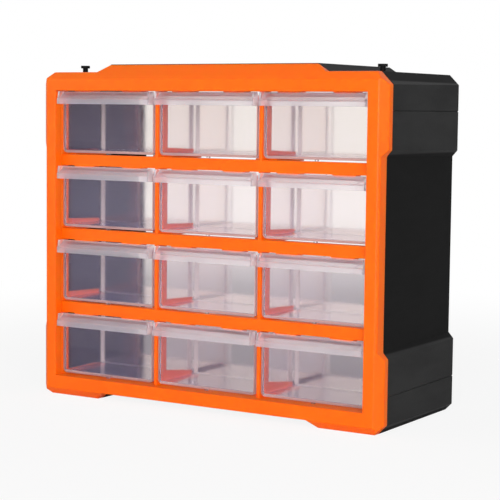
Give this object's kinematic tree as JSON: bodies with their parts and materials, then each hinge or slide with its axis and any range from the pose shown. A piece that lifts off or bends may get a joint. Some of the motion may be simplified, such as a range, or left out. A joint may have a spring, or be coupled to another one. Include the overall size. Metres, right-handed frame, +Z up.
{
  "type": "small parts cabinet",
  "caption": "Free-standing cabinet of clear pull-out drawers in a bevelled front frame and black sleeve housing, for sorting small parts; stacks by pegs and feet.",
  "frame": {"origin": "on the standing surface, under the middle of the cabinet's footprint", "axes": "+X to the right of the front, +Y from the front to the open back, +Z up"},
  "size_m": [0.265, 0.108, 0.2282],
  "materials": {
    "orange_plastic": "satin moulded polypropylene",
    "black_plastic": "fine spark-eroded moulded polypropylene",
    "clear_plastic": "clear moulded polystyrene"
  },
  "bodies": {
    "cabinet": {"front_bezel": "orange_plastic", "drawer_rack": "orange_plastic", "tee_guide_r1g1": "orange_plastic", "tee_guide_r1g2": "orange_plastic", "tee_guide_r2g1": "orange_plastic", "tee_guide_r2g2": "orange_plastic", "tee_guide_r3g1": "orange_plastic", "tee_guide_r3g2": "orange_plastic", "tee_guide_r4g1": "orange_plastic", "tee_guide_r4g2": "orange_plastic", "side_ledge_r1_left": "orange_plastic", "side_ledge_r1_right": "orange_plastic", "side_ledge_r2_left": "orange_plastic", "side_ledge_r2_right": "orange_plastic", "side_ledge_r3_left": "orange_plastic", "side_ledge_r3_right": "orange_plastic", "side_ledge_r4_left": "orange_plastic", "side_ledge_r4_right": "orange_plastic", "rear_housing": "black_plastic", "stacking_peg_left": "black_plastic", "stacking_peg_right": "black_plastic"},
    "drawer_r1c1": {"drawer_r1c1": "clear_plastic", "divider_r1c1": "clear_plastic"},
    "drawer_r1c2": {"drawer_r1c2": "clear_plastic", "divider_r1c2": "clear_plastic"},
    "drawer_r1c3": {"drawer_r1c3": "clear_plastic", "divider_r1c3": "clear_plastic"},
    "drawer_r2c1": {"drawer_r2c1": "clear_plastic", "divider_r2c1": "clear_plastic"},
    "drawer_r2c2": {"drawer_r2c2": "clear_plastic", "divider_r2c2": "clear_plastic"},
    "drawer_r2c3": {"drawer_r2c3": "clear_plastic", "divider_r2c3": "clear_plastic"},
    "drawer_r3c1": {"drawer_r3c1": "clear_plastic", "divider_r3c1": "clear_plastic"},
    "drawer_r3c2": {"drawer_r3c2": "clear_plastic", "divider_r3c2": "clear_plastic"},
    "drawer_r3c3": {"drawer_r3c3": "clear_plastic", "divider_r3c3": "clear_plastic"},
    "drawer_r4c1": {"drawer_r4c1": "clear_plastic", "divider_r4c1": "clear_plastic"},
    "drawer_r4c2": {"drawer_r4c2": "clear_plastic", "divider_r4c2": "clear_plastic"},
    "drawer_r4c3": {"drawer_r4c3": "clear_plastic", "divider_r4c3": "clear_plastic"}
  },
  "joints": [
    {"name": "drawer_r1c1_slide", "type": "slide", "parent": "cabinet", "child": "drawer_r1c1", "axis": [0, -1, 0], "range_m": [0, 0.0816]},
    {"name": "drawer_r1c2_slide", "type": "slide", "parent": "cabinet", "child": "drawer_r1c2", "axis": [0, -1, 0], "range_m": [0, 0.0816]},
    {"name": "drawer_r1c3_slide", "type": "slide", "parent": "cabinet", "child": "drawer_r1c3", "axis": [0, -1, 0], "range_m": [0, 0.0816]},
    {"name": "drawer_r2c1_slide", "type": "slide", "parent": "cabinet", "child": "drawer_r2c1", "axis": [0, -1, 0], "range_m": [0, 0.0816]},
    {"name": "drawer_r2c2_slide", "type": "slide", "parent": "cabinet", "child": "drawer_r2c2", "axis": [0, -1, 0], "range_m": [0, 0.0816]},
    {"name": "drawer_r2c3_slide", "type": "slide", "parent": "cabinet", "child": "drawer_r2c3", "axis": [0, -1, 0], "range_m": [0, 0.0816]},
    {"name": "drawer_r3c1_slide", "type": "slide", "parent": "cabinet", "child": "drawer_r3c1", "axis": [0, -1, 0], "range_m": [0, 0.0816]},
    {"name": "drawer_r3c2_slide", "type": "slide", "parent": "cabinet", "child": "drawer_r3c2", "axis": [0, -1, 0], "range_m": [0, 0.0816]},
    {"name": "drawer_r3c3_slide", "type": "slide", "parent": "cabinet", "child": "drawer_r3c3", "axis": [0, -1, 0], "range_m": [0, 0.0816]},
    {"name": "drawer_r4c1_slide", "type": "slide", "parent": "cabinet", "child": "drawer_r4c1", "axis": [0, -1, 0], "range_m": [0, 0.0816]},
    {"name": "drawer_r4c2_slide", "type": "slide", "parent": "cabinet", "child": "drawer_r4c2", "axis": [0, -1, 0], "range_m": [0, 0.0816]},
    {"name": "drawer_r4c3_slide", "type": "slide", "parent": "cabinet", "child": "drawer_r4c3", "axis": [0, -1, 0], "range_m": [0, 0.0816]}
  ]
}
